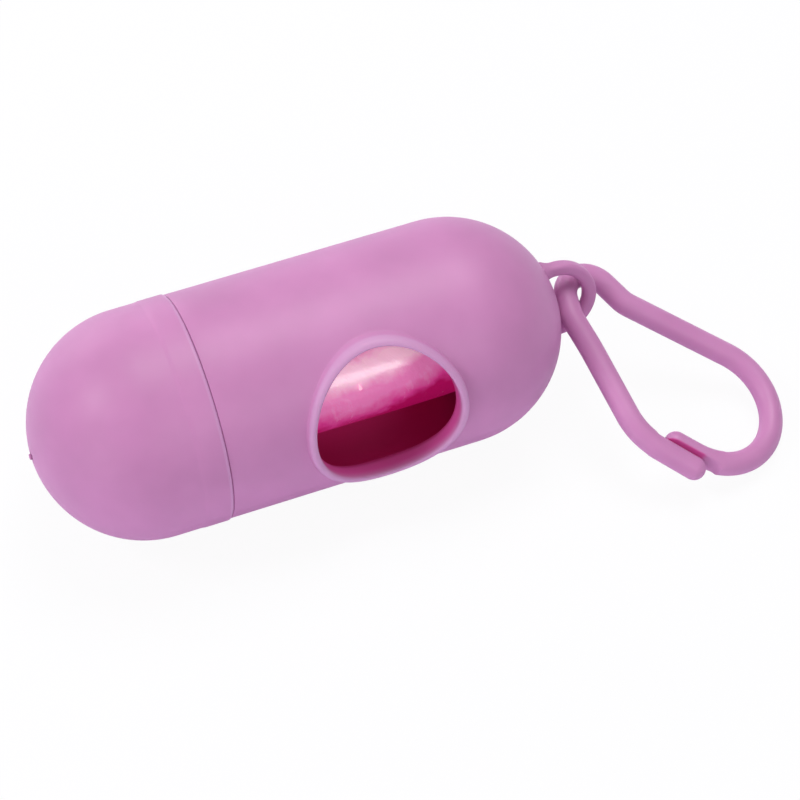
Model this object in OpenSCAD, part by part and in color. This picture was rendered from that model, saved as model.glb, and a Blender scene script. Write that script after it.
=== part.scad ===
// Capsule-shaped dispenser for rolls of pet waste bags, with a one-piece clip for a leash.
// The capsule lies on its side on a flat surface. X runs along the capsule towards the clip,
// Y runs to the back and Z up. The origin is under the middle of the whole part, on the surface.

/* [Capsule] */
// outside diameter of the barrel
body_d = 38; // [30:0.5:50]
// length over the two domes
capsule_l = 91; // [80:0.5:110]
// wall of the barrel and of its dome
body_wall = 2.2; // [1.6:0.1:2.8]
// how far the cap stands proud of the barrel, all round
cap_proud = 0.2; // [0.1:0.05:0.5]
// wall of the cap
cap_wall = 1.15; // [0.9:0.05:1.6]
// distance from the middle of the capsule to the seam between cap and barrel
seam_offset = 17.5; // [14:0.5:22]
// open line left between the cap's rim and the barrel's shoulder
seam_gap = 0.25; // [0.1:0.05:0.4]
// length of the neck that the cap slides over
neck_l = 8; // [6:0.5:10]
// space between the neck and the cap, all round
neck_gap = 0.25; // [0.1:0.05:0.35]
// height of the small moulding mark on the cap's pole
nib_h = 0.25; // [0.1:0.05:0.5]

/* [Dispensing window] */
// diameter of the round window
window_d = 24; // [18:0.5:28]
// distance of the window's middle from the middle of the capsule
window_x = 9; // [5:0.5:12]
// height angle at which the window looks out to the front
window_tilt = 18; // [0:1:45]
// width of the raised lip round the window
lip_w = 1.5; // [1:0.1:2.5]
// how far the lip stands above the barrel
lip_h = 1.2; // [0.6:0.1:2]

/* [Eyelet] */
// thickness of the flat eyelet
eyelet_t = 2.3; // [2:0.1:3]
// distance from the dome's tip to the middle of the eyelet's half ring
eyelet_reach = 0.8; // [0.6:0.05:2]
// inside diameter of the half ring
eyelet_hole_d = 9.2; // [8.8:0.1:11]
// width of the eyelet's rim
eyelet_rim = 2.3; // [2:0.1:3]

/* [Clip] */
// diameter of the clip's round wire
wire_d = 4; // [3:0.1:5]
// turn of the clip to the front, seen from above
clip_yaw = 39.2; // [35:0.1:44]
// length of the straight run on the clip's back side
spine_l = 19.1; // [15:0.1:24]
// radius of the bend inside the eyelet, on the wire's centre line
near_bend_r = 4.55; // [4.3:0.05:4.8]
// radius of the far bend, on the wire's centre line
far_bend_r = 11.05; // [9:0.05:12]
// space between the two finger ends that close the clip
finger_gap = 0.3; // [0.2:0.05:0.6]

/* [Bag roll] */
// outside diameter of the wound bags
roll_d = 18.4; // [14:0.2:20]
// length of the roll
roll_l = 53.5; // [50:0.5:54]
// outside diameter of the cardboard core
core_d = 11; // [9:0.2:12]
// wall of the cardboard core
core_wall = 0.8; // [0.6:0.1:1.2]
// space between the roll and the wall that it lies against
roll_gap = 0.6; // [0.3:0.05:0.8]
// angle below the horizontal at which the roll lies against the back of the barrel
roll_low = 63; // [50:1:90]

/* [Hidden] */
$fn = 72;
orchid = [0.80, 0.54, 0.74];
film_pink = [0.90, 0.45, 0.70];
cardboard = [0.72, 0.60, 0.46];
over = 1;                                        // how far cutters run past what they cut

body_r = body_d / 2;
bore_r = body_r - body_wall;
cap_r = body_r + cap_proud;
cap_bore_r = cap_r - cap_wall;
neck_r = cap_bore_r - neck_gap;
dome_x = capsule_l / 2 - body_r;                 // middles of the two domes, either side of 0
window_r = window_d / 2;
eyelet_x = dome_x + body_r + eyelet_reach;       // middle of the eyelet's hole
eyelet_hole_r = eyelet_hole_d / 2;
wire_r = wire_d / 2;

// The roll lies against the bore, low at the back.
roll_r = roll_d / 2;
roll_off = bore_r - roll_gap - roll_r;
roll_y = roll_off * cos(roll_low);
roll_z = -roll_off * sin(roll_low);

// The clip is one wire bent in one plane. A run is a list of steps from a start: ["line", length],
// or ["bend", radius, angle], with a positive angle to the left. Both runs start at the gate's root,
// where the gate flexes.
root = [2.6, -3.6];
gate_heading = -37.7;
kink_angle = 19.5;                               // the spine first leans in by this much
spine_heading = 2.8;                             // and then runs out at this angle
nose_drop = -0.4;                                // slope of the nose finger towards the gate's finger
root_bend = 17.5;
frame_run = [
    ["bend", 5, -root_bend],
    ["line", 2.5],
    ["bend", near_bend_r, -(180 + gate_heading - root_bend + kink_angle)],
    ["line", 3.5],
    ["bend", 5, kink_angle + spine_heading],
    ["line", spine_l],
    ["bend", far_bend_r, -(180 + spine_heading - nose_drop)],
    ["line", 3.9]];
gate_run = [
    ["line", 3.5],
    ["bend", 60, -3.7],
    ["line", 11.3],
    ["bend", 10.9, 39.5],
    ["line", 6.9]];
root_gap = 0.3;                                  // between the frame's ball end and the gate's end
bend_step = 8;                                   // angle between two rings of a bend
wire_sides = 24;
split_share = 0.75;                              // the gate's finger is the thicker of the two
flat_lead = 1.6;                                 // longer than the space between two rings of a bend

function turn(v, a) = [v[0] * cos(a) - v[1] * sin(a), v[0] * sin(a) + v[1] * cos(a)];
function is_bend(s) = s[0] == "bend";
function step_end(s) = is_bend(s)
    ? [s[1] * sin(abs(s[2])), sign(s[2]) * s[1] * (1 - cos(s[2]))]
    : [s[1], 0];
// Where one step ends: [x, y, heading].
function after(s, at) =
    let (d = turn(step_end(s), at[2]))
    [at[0] + d[0], at[1] + d[1], at[2] + (is_bend(s) ? s[2] : 0)];
// Where a run has got to after its first n steps.
function run_at(run, at, n) = n == 0 ? at : after(run[n - 1], run_at(run, at, n - 1));
// Stations along a run, with several in each bend.
function stations(run, at) = [
    at,
    for (i = [0 : len(run) - 1])
        let (s = run[i], from = run_at(run, at, i), n = is_bend(s) ? ceil(abs(s[2]) / bend_step) : 1)
        for (k = [1 : n])
            after([s[0], is_bend(s) ? s[1] : s[1] * k / n, is_bend(s) ? s[2] * k / n : 0], from)];
// A round end: rings that shrink towards the tip, beyond a station (way 1) or before it (way -1).
function round_end(at, way) = [
    for (k = [1 : 5])
        let (a = 15 * (way > 0 ? k : 6 - k), d = turn([way * wire_r * sin(a), 0], at[2]))
        [at[0] + d[0], at[1] + d[1], at[2], wire_r * cos(a)]];
function full(list) = [for (at = list) [at[0], at[1], at[2], wire_r]];

frame_start = [root[0], root[1], gate_heading + 180];
gate_start = after(["line", wire_r + root_gap], [root[0], root[1], gate_heading]);
frame_path = stations(frame_run, frame_start);
nose_end = frame_path[len(frame_path) - 1];
gate_end = run_at(gate_run, [root[0], root[1], gate_heading], len(gate_run));
gate_path = stations(
    [["line", gate_run[0][1] - wire_r - root_gap], gate_run[1], gate_run[2], gate_run[3], gate_run[4]],
    gate_start);
far_start = run_at(frame_run, frame_start, len(frame_run) - 2);
far_mid = [far_start[0], far_start[1]] + turn([0, -far_bend_r], far_start[2]);
split_w = gate_end[1] + split_share * (nose_end[1] - gate_end[1]);   // the fingers meet on this line

// The clip hangs from the eyelet, and its far bend rests on the surface.
clip_x = eyelet_x + 1.8;                         // in the outer half of the eyelet's opening
clip_lift = -0.59;
clip_pitch = asin((cap_r - wire_r + clip_lift) / (far_mid[0] + far_bend_r));
along = [cos(clip_pitch) * cos(clip_yaw), -cos(clip_pitch) * sin(clip_yaw), -sin(clip_pitch)];
across = [sin(clip_yaw), cos(clip_yaw), 0];
normal = cross(along, across);

// The part's box, for an origin under its middle.
x_min = -dome_x - cap_r - nib_h;
x_max = clip_x + along[0] * far_mid[0] + across[0] * far_mid[1]
    + far_bend_r * sqrt(1 - normal[0] * normal[0]) + wire_r;
y_min = min(
    along[1] * gate_end[0] + across[1] * gate_end[1],
    along[1] * far_mid[0] + across[1] * far_mid[1]
        - far_bend_r * sqrt(1 - normal[1] * normal[1])) - wire_r;
y_max = cap_r;
part_shift = [-(x_min + x_max) / 2, -(y_min + y_max) / 2, cap_r];

// Moves a piece from the capsule's middle to the part's frame.
module placed() {
    translate(part_shift)
        children();
}

// Turns a shape's own Z axis to the part's X axis.
module along_x() {
    rotate([0, 90, 0])
        children();
}

// Round bar along X from x0 to x1.
module bar_x(x0, x1, r) {
    translate([x0, 0, 0])
        along_x()
            cylinder(r = r, h = x1 - x0);
}

// Looks out of the window: the shape's own Z axis points out through its middle.
module at_window() {
    translate([window_x, 0, 0])
        rotate([90 - window_tilt, 0, 0])
            children();
}

// Plane of the eyelet: its own X axis runs along the capsule and its Z axis like the window's.
module at_eyelet() {
    translate([eyelet_x, 0, 0])
        rotate([90 - window_tilt, 0, 0])
            children();
}

// Raised lip that follows the barrel's curve, in three steps that round its top edge.
module window_lip() {
    lip_steps = [[0, 0.45], [0.18, 0.8], [0.42, 1]];
    for (s = lip_steps)
        intersection() {
            at_window()
                difference() {
                    cylinder(r = window_r + lip_w * (1 - s[0]), h = body_r + lip_h + over);
                    cylinder(r = window_r - 0.1, h = body_r + lip_h + over);
                }
            bar_x(window_x - body_r, window_x + body_r, body_r + lip_h * s[1]);
        }
}

// Profile of the eyelet's rim: round on the side of the hole, with small rounds outside.
module eyelet_profile() {
    half = eyelet_t / 2;
    edge = 0.6;
    translate([eyelet_hole_r + half, 0])
        circle(r = half);
    translate([eyelet_hole_r + half, -half])
        square([eyelet_rim - half - edge, eyelet_t]);
    translate([eyelet_hole_r + half, -half + edge])
        square([eyelet_rim - half, eyelet_t - 2 * edge]);
    for (side = [-1, 1])
        translate([eyelet_hole_r + eyelet_rim - edge, side * (half - edge)])
            circle(r = edge);
}

module eyelet() {
    flank_l = eyelet_reach + 2.4;
    at_eyelet() {
        rotate([0, 0, -90])
            rotate_extrude(angle = 180)
                eyelet_profile();
        for (side = [0, 1])
            mirror([0, side, 0])
                rotate([90, 0, -90])
                    linear_extrude(height = flank_l)
                        eyelet_profile();
    }
}

module body_shell() {
    color(orchid)
        placed()
            difference() {
                union() {
                    bar_x(-seam_offset, dome_x, body_r);
                    translate([dome_x, 0, 0])
                        sphere(r = body_r);
                    bar_x(-seam_offset - neck_l, -seam_offset + over, neck_r);
                    window_lip();
                    eyelet();
                }
                bar_x(-seam_offset - neck_l - over, dome_x, bore_r);
                translate([dome_x, 0, 0])
                    sphere(r = bore_r);
                at_window()
                    cylinder(r = window_r, h = body_r + lip_h + 2 * over);
            }
}

module end_cap() {
    skirt = dome_x - seam_offset - seam_gap;
    color(orchid)
        placed()
            translate([-dome_x, 0, 0])
                rotate([0, -90, 0])
                    rotate_extrude() {
                        difference() {
                            union() {
                                circle(r = cap_r);
                                translate([0, -skirt])
                                    square([cap_r, skirt]);
                            }
                            circle(r = cap_bore_r);
                            translate([-cap_bore_r, -skirt - over])
                                square([2 * cap_bore_r, skirt + over]);
                            translate([-2 * cap_r, -2 * cap_r])
                                square([2 * cap_r, 4 * cap_r]);
                            translate([-over, -skirt - cap_r])
                                square([cap_r + 2 * over, cap_r]);
                        }
                        translate([0, cap_r - over])
                            square([0.7, nib_h + over]);
                    }
}

// Places the clip's plane: its own X axis along the clip and its Y axis across it.
module at_clip() {
    translate([clip_x, 0, clip_lift])
        rotate([0, clip_pitch, -clip_yaw])
            children();
}

// Sweeps the round wire through a list of rings [x, y, heading, radius], in the plane Z = 0. Points
// past the line y = flat, on the side that "side" gives, are set back onto it from flat_from to flat_to.
module wire(rings, flat, side, flat_from, flat_to) {
    n = wire_sides;
    last = (len(rings) - 1) * n;
    function set_back(p) =
        p[0] > flat_from && p[0] < flat_to && p[1] < 0
            ? [p[0], side > 0 ? min(p[1], flat) : max(p[1], flat), p[2]]
            : p;
    points = [
        for (g = rings)
            for (j = [0 : n - 1])
                let (a = (j + 0.5) * 360 / n, d = turn([0, g[3] * cos(a)], g[2]))
                set_back([g[0] + d[0], g[1] + d[1], g[3] * sin(a)])];
    sides = [
        for (i = [0 : len(rings) - 2])
            for (j = [0 : n - 1])
                let (k = (j + 1) % n, p = i * n)
                each [[p + j, p + n + j, p + n + k], [p + j, p + n + k, p + k]]];
    polyhedron(
        points = points,
        faces = concat(
            [[for (j = [0 : n - 1]) j]],
            sides,
            [[for (j = [0 : n - 1]) last + n - 1 - j]]),
        convexity = 6);
}

module clip_frame() {
    rings = concat(round_end(frame_start, -1), full(frame_path), round_end(nose_end, 1));
    color(orchid)
        placed()
            at_clip()
                wire(
                    rings,
                    split_w + finger_gap / 2,
                    -1,
                    nose_end[0] - wire_d,
                    gate_end[0] + wire_r + finger_gap + flat_lead);
}

module clip_gate() {
    rings = concat(full(gate_path), round_end(gate_end, 1));
    color(orchid)
        placed()
            at_clip()
                wire(
                    rings,
                    split_w - finger_gap / 2,
                    1,
                    nose_end[0] - wire_r - finger_gap - flat_lead,
                    gate_end[0] + wire_d);
}

// Places the roll's axis.
module at_roll() {
    translate([0, roll_y, roll_z])
        children();
}

module tube_x(l, outer, inner) {
    difference() {
        bar_x(-l / 2, l / 2, outer);
        bar_x(-l / 2 - over, l / 2 + over, inner);
    }
}

module roll_core() {
    color(cardboard)
        placed()
            at_roll()
                tube_x(roll_l, core_d / 2, core_d / 2 - core_wall);
}

module bag_roll() {
    color(film_pink)
        placed()
            at_roll()
                tube_x(roll_l, roll_r, core_d / 2);
}

body_shell();
end_cap();
clip_frame();
clip_gate();
roll_core();
bag_roll();
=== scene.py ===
"""Looks of a capsule-shaped dispenser for pet waste bags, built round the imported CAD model.

Shapes are worked out in millimetres in the capsule's own frame, with X along the capsule from its
middle towards the clip, and Frame.to_part moves them to the part's frame in metres.
"""

import logging
import math
from dataclasses import dataclass, field
from enum import Enum

import bmesh
import bpy
import numpy as np
from mathutils import Matrix, Vector

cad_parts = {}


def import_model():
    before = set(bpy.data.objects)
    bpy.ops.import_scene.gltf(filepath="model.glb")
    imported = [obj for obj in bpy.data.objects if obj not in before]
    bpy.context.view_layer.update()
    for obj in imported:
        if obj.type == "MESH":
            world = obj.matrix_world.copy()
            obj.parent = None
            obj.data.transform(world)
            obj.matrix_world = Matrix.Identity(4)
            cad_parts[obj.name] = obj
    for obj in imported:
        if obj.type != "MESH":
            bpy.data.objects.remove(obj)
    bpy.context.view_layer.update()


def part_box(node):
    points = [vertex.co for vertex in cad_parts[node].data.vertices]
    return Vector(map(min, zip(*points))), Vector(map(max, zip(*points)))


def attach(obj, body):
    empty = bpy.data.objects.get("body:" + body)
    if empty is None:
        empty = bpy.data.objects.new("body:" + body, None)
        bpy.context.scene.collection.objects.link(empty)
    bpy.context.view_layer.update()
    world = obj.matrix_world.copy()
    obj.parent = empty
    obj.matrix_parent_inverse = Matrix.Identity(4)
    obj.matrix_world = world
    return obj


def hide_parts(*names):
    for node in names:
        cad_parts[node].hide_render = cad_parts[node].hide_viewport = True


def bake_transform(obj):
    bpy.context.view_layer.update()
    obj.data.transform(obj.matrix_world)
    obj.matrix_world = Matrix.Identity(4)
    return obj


LOG = logging.getLogger("dispenser")
MM = 0.001
TAU = 2 * math.pi
BLACK = (0.0, 0.0, 0.0)
WHITE = (1.0, 1.0, 1.0, 1.0)

Colour = tuple[float, float, float]


class Body(Enum):
    """The CAD bodies that pieces ride on."""

    SHELL = "shell"
    CAP = "cap"
    CLIP = "clip"
    GATE = "gate"
    ROLL = "roll"


class Slot(Enum):
    """Names of material slots."""

    SHELL = "shell_plastic"
    CAP = "cap_plastic"
    CLIP = "clip_plastic"
    CORE = "core_board"
    FILM = "bag_film"


# --------------------------------------------------------------------------- places


@dataclass(frozen=True)
class Frame:
    """The capsule's own frame inside the part's frame.

    Args:
        cap_corner: Lowest corner of the end cap's box, in metres.
        cap_top: Highest corner of the end cap's box, in metres.
        barrel: Radius of the barrel, in millimetres.
        length: Length over the domes, in millimetres.
        cap_radius: Radius of the cap, in millimetres.
        nib: Height of the mark on the cap's pole, in millimetres.
    """

    cap_corner: Vector
    cap_top: Vector
    barrel: float = 19.0
    length: float = 91.0
    cap_radius: float = 19.2
    nib: float = 0.25

    @property
    def dome_x(self) -> float:
        """Distance of the domes' middles from the capsule's middle."""
        return self.length / 2 - self.barrel

    @property
    def origin(self) -> np.ndarray:
        """The capsule's middle in the part's frame, in millimetres."""
        low, high = np.array(self.cap_corner) / MM, np.array(self.cap_top) / MM
        x = low[0] + self.nib + self.cap_radius + self.dome_x
        return np.array([x, (low[1] + high[1]) / 2, (low[2] + high[2]) / 2])

    def to_part(self, points: np.ndarray) -> np.ndarray:
        """Moves points from the capsule's frame, in millimetres, to the part's, in metres.

        Args:
            points: Points, one a row.

        Returns:
            The same points in the part's frame.
        """
        return (np.asarray(points, float) + self.origin) * MM


# --------------------------------------------------------------------------- meshes


@dataclass
class Surface:
    """Vertices and faces that are gathered from grids and made into one mesh.

    Args:
        points: Blocks of vertices, in millimetres.
        faces: Blocks of quads.
        rings: Closing faces, each a ring of vertex numbers.
        count: How many vertices there are so far.
    """

    points: list[np.ndarray] = field(default_factory=list)
    faces: list[np.ndarray] = field(default_factory=list)
    rings: list[np.ndarray] = field(default_factory=list)
    count: int = 0

    def grid(self, points: np.ndarray, closed: bool = False, flip: bool = False) -> np.ndarray:
        """Adds a grid of quads.

        Args:
            points: Vertices with shape (rows, columns, 3).
            closed: Whether the last column joins the first.
            flip: Whether the faces point the other way.

        Returns:
            The grid's vertex numbers, with shape (rows, columns).
        """
        rows, cols = points.shape[:2]
        index = np.arange(rows * cols).reshape(rows, cols) + self.count
        self.points.append(points.reshape(-1, 3))
        self.count += rows * cols
        right = np.roll(index, -1, axis=1) if closed else index[:, 1:]
        left = index if closed else index[:, :-1]
        quads = np.stack([left[:-1], right[:-1], right[1:], left[1:]], axis=-1).reshape(-1, 4)
        self.faces.append(quads[:, ::-1] if flip else quads)
        return index

    def cap(self, ring: np.ndarray, flip: bool = False) -> None:
        """Closes a ring of vertices with one face.

        Args:
            ring: Vertex numbers round the ring.
            flip: Whether the face points the other way.
        """
        self.rings.append(ring[::-1] if flip else ring)

    def build(self, name: str, frame: Frame, merge: float = 1e-4) -> bpy.types.Object:
        """Makes the mesh object, with doubles merged, normals outwards and smooth shading.

        Args:
            name: Name of the object.
            frame: The capsule's frame.
            merge: Distance at which vertices become one, in millimetres.

        Returns:
            The object, with its place in its mesh.
        """
        mesh = bpy.data.meshes.new(name)
        faces = np.concatenate(self.faces).tolist() + [ring.tolist() for ring in self.rings]
        mesh.from_pydata(frame.to_part(np.concatenate(self.points)), [], faces)
        work = bmesh.new()
        work.from_mesh(mesh)
        bmesh.ops.remove_doubles(work, verts=work.verts, dist=merge * MM)
        bmesh.ops.recalc_face_normals(work, faces=work.faces)
        work.to_mesh(mesh)
        work.free()
        mesh.shade_smooth()
        return linked(name, mesh)


def linked(name: str, data: bpy.types.ID) -> bpy.types.Object:
    """Makes an object of a mesh, a lamp or a camera, and puts it in the scene."""
    made = bpy.data.objects.new(name, data)
    bpy.context.collection.objects.link(made)
    return made


def closed_tube(name: str, frame: Frame, rings: np.ndarray) -> bpy.types.Object:
    """Makes one closed piece of rings in a row, with a face over each end.

    Args:
        name: Name of the object.
        frame: The capsule's frame.
        rings: A grid with shape (rings, points round a ring, 3), in millimetres.

    Returns:
        The object.
    """
    surface = Surface()
    index = surface.grid(rings, True)
    surface.cap(index[0])
    surface.cap(index[-1], True)
    return surface.build(name, frame)


def sharpen(piece: bpy.types.Object, degrees: float) -> None:
    """Keeps edges sharper than an angle crisp, and the rest smooth.

    Args:
        piece: The mesh object.
        degrees: Angle between faces past which an edge is sharp.
    """
    mesh = piece.data
    work = bmesh.new()
    work.from_mesh(mesh)
    limit = math.radians(degrees)
    for edge in work.edges:
        edge.smooth = not (edge.is_manifold and edge.calc_face_angle(0.0) > limit)
    work.to_mesh(mesh)
    work.free()


def fillet(start: float, end: float, count: int) -> np.ndarray:
    """Angles of an arc, evenly spaced.

    Args:
        start: First angle, in degrees.
        end: Last angle, in degrees.
        count: How many angles.

    Returns:
        The angles, in radians.
    """
    return np.radians(np.linspace(start, end, count))


def round_x(x: np.ndarray | float, radius: np.ndarray | float, angle: np.ndarray) -> np.ndarray:
    """Points (x, r cos a, r sin a) round the X axis.

    Args:
        x: Places along the axis.
        radius: Distances r from it.
        angle: Angles a about it, in radians.

    Returns:
        The points, with their coordinates last.
    """
    y, z = radius * np.cos(angle), radius * np.sin(angle)
    return np.stack([np.broadcast_to(x, y.shape), y, z], axis=-1)


def revolve(profile: np.ndarray, sides: int) -> np.ndarray:
    """Turns a profile round the X axis.

    Args:
        profile: Points (x, r), one a row.
        sides: Steps round the axis.

    Returns:
        A grid with shape (points, sides, 3).
    """
    a = np.linspace(0, TAU, sides, endpoint=False)
    return round_x(profile[:, :1], profile[:, 1:2], a)


def directions(path: np.ndarray) -> np.ndarray:
    """The unit directions along a path: the differences of its points, each over its length."""
    along = np.gradient(path, axis=0)
    return along / np.linalg.norm(along, axis=1)[:, None]


def sweep(
    path: np.ndarray, tangents: np.ndarray, normals: np.ndarray, section: np.ndarray
) -> np.ndarray:
    """Carries a section along a path: path + section u * side + section v * normal.

    Args:
        path: Points along the path.
        tangents: The path's direction at each point.
        normals: The section's v direction at each point.
        section: Points (u, v) of the section, or one set of them for each path point.

    Returns:
        A grid with shape (path points, section points, 3).
    """
    side = np.cross(tangents, normals)
    cut = np.broadcast_to(section, (len(path),) + np.shape(section)[-2:])
    return path[:, None] + cut[..., :1] * side[:, None] + cut[..., 1:] * normals[:, None]


# --------------------------------------------------------------------------- shader maths


class Socket:
    """A shader value: an output socket, with Python's operators as Math nodes."""

    def __init__(self, tree: bpy.types.NodeTree, out: bpy.types.NodeSocket) -> None:
        """Wraps an output socket of a node tree."""
        self.tree = tree
        self.out = out

    def _math(self, kind: str, *values: "Socket | float") -> "Socket":
        """Adds a Math node over values."""
        made = Shader.node_in(
            self.tree, "ShaderNodeMath", {"operation": kind}, dict(enumerate(values))
        )
        return Socket(self.tree, made.outputs[0])

    def __add__(self, other: "Socket | float") -> "Socket":
        """The sum."""
        return self._math("ADD", self, other)

    __radd__ = __add__

    def __sub__(self, other: "Socket | float") -> "Socket":
        """The difference."""
        return self._math("SUBTRACT", self, other)

    def __rsub__(self, other: "Socket | float") -> "Socket":
        """The difference, the other way round."""
        return self._math("SUBTRACT", other, self)

    def __mul__(self, other: "Socket | float") -> "Socket":
        """The product."""
        return self._math("MULTIPLY", self, other)

    __rmul__ = __mul__

    def __truediv__(self, other: "Socket | float") -> "Socket":
        """The quotient."""
        return self._math("DIVIDE", self, other)

    def __pow__(self, other: "Socket | float") -> "Socket":
        """The power."""
        return self._math("POWER", self, other)

    def absolute(self) -> "Socket":
        """The size without the sign."""
        return self._math("ABSOLUTE", self)

    def above(self, floor: float) -> "Socket":
        """The greater of the value and a floor."""
        return self._math("MAXIMUM", self, floor)

    def step(self, low: float, high: float) -> "Socket":
        """A smooth step from 0 at low to 1 at high.

        Args:
            low: Value at which the step starts.
            high: Value at which it ends.

        Returns:
            The stepped value.
        """
        made = Shader.node_in(
            self.tree,
            "ShaderNodeMapRange",
            {"interpolation_type": "SMOOTHSTEP"},
            {"Value": self, "From Min": low, "From Max": high},
        )
        return Socket(self.tree, made.outputs["Result"])


class Shader:
    """A material under construction, with one method that adds any node."""

    def __init__(self, name: str) -> None:
        """Starts a material with an empty Principled surface."""
        self.material = bpy.data.materials.new(name)
        self.material.use_nodes = True
        self.tree = self.material.node_tree
        self.surface = self.tree.nodes["Principled BSDF"]
        self.place = Socket(self.tree, self.add("ShaderNodeTexCoord").outputs["Object"])

    @staticmethod
    def node_in(
        tree: bpy.types.NodeTree,
        kind: str,
        settings: dict | None = None,
        inputs: dict | None = None,
    ) -> bpy.types.Node:
        """Adds a node to a tree.

        Args:
            tree: The node tree.
            kind: The node's type.
            settings: Properties that are set first; "ramp" holds a colour ramp's stops.
            inputs: Values or links of its sockets, by name or number.

        Returns:
            The node.
        """
        made = tree.nodes.new(kind)
        for key, value in (settings or {}).items():
            if key == "ramp":
                Shader._ramp(made, value)
            else:
                setattr(made, key, value)
        for key, value in (inputs or {}).items():
            if isinstance(value, Socket):
                tree.links.new(value.out, made.inputs[key])
            else:
                made.inputs[key].default_value = value
        return made

    @staticmethod
    def _ramp(made: bpy.types.Node, stops: list[tuple[float, Colour]]) -> None:
        """Sets a colour ramp's stops, each a place and a colour."""
        elements = made.color_ramp.elements
        while len(elements) < len(stops):
            elements.new(1.0)
        for element, (position, colour) in zip(elements, stops):
            element.position = position
            element.color = (*colour, 1.0)

    def add(
        self, kind: str, settings: dict | None = None, inputs: dict | None = None
    ) -> bpy.types.Node:
        """Adds a node to this material; see node_in."""
        return self.node_in(self.tree, kind, settings, inputs)

    def value(self, made: bpy.types.Node, output: str | int = 0) -> Socket:
        """One output of a node, as a value."""
        return Socket(self.tree, made.outputs[output])

    def noise(
        self, scale: float, detail: float, rough: float, vector: Socket | None = None
    ) -> Socket:
        """A noise value about 0.5.

        Args:
            scale: Waves a metre.
            detail: Octaves.
            rough: Strength of the finer octaves.
            vector: Where it is read; the object's own place if not given.

        Returns:
            The noise.
        """
        inputs = {
            "Vector": vector or self.place,
            "Scale": scale,
            "Detail": detail,
            "Roughness": rough,
        }
        return self.value(self.add("ShaderNodeTexNoise", {}, inputs), "Fac")

    def stretched(self, along: float, across: float, turn: float) -> Socket:
        """The object's own place, scaled along axes that are turned about Z.

        Args:
            along: Scale along the turned X axis.
            across: Scale along the other two.
            turn: The turn, in degrees.

        Returns:
            The scaled place.
        """
        inputs = {
            "Vector": self.place,
            "Rotation": (0.0, 0.0, math.radians(turn)),
            "Scale": (1.0 / along, 1.0 / across, 1.0 / across),
        }
        made = self.add("ShaderNodeMapping", {"vector_type": "TEXTURE"}, inputs)
        return self.value(made)

    def colours(self, factor: Socket, stops: list[tuple[float, Colour]]) -> Socket:
        """A colour that runs through stops as a factor goes from 0 to 1."""
        made = self.add("ShaderNodeValToRGB", {"ramp": stops}, {"Fac": factor})
        return self.value(made, "Color")

    def mixed(self, factor: Socket, one: Socket | Colour, two: Socket | Colour) -> Socket:
        """A colour between two.

        Args:
            factor: Share of the second colour.
            one: First colour.
            two: Second colour.

        Returns:
            The mixed colour.
        """
        ends = [(*end, 1.0) if isinstance(end, tuple) else end for end in (one, two)]
        inputs = {0: factor, 6: ends[0], 7: ends[1]}
        return self.value(self.add("ShaderNodeMix", {"data_type": "RGBA"}, inputs), 2)

    def axes(self) -> tuple[Socket, Socket, Socket]:
        """The object's own place as three values."""
        made = self.add("ShaderNodeSeparateXYZ", {}, {"Vector": self.place})
        return self.value(made, 0), self.value(made, 1), self.value(made, 2)

    def bump(self, height: Socket, depth: float, strength: float = 1.0) -> None:
        """Feeds a bump to the surface's Normal.

        Args:
            height: The height, about 0 to 1.
            depth: What a height of 1 stands for, in millimetres.
            strength: How much of it shows.
        """
        made = self.add(
            "ShaderNodeBump", {}, {"Height": height, "Distance": depth * MM, "Strength": strength}
        )
        self.tree.links.new(made.outputs["Normal"], self.surface.inputs["Normal"])

    def set(self, **inputs: "Socket | float | tuple") -> None:
        """Sets or links sockets of the surface, with _ for a space in a socket's name."""
        for key, value in inputs.items():
            name = key.replace("_", " ")
            if isinstance(value, Socket):
                self.tree.links.new(value.out, self.surface.inputs[name])
            else:
                self.surface.inputs[name].default_value = value


# --------------------------------------------------------------------------- finishes


@dataclass(frozen=True)
class Marks:
    """Places on the capsule that its plastic's colour follows, in millimetres.

    Args:
        window_x: Place of the window along the capsule.
        window_radius: The window's radius.
        tilt: The window's angle above the horizontal, in radians.
        seam: Distance of the seam from the capsule's middle.
    """

    window_x: float
    window_radius: float
    tilt: float
    seam: float


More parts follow.
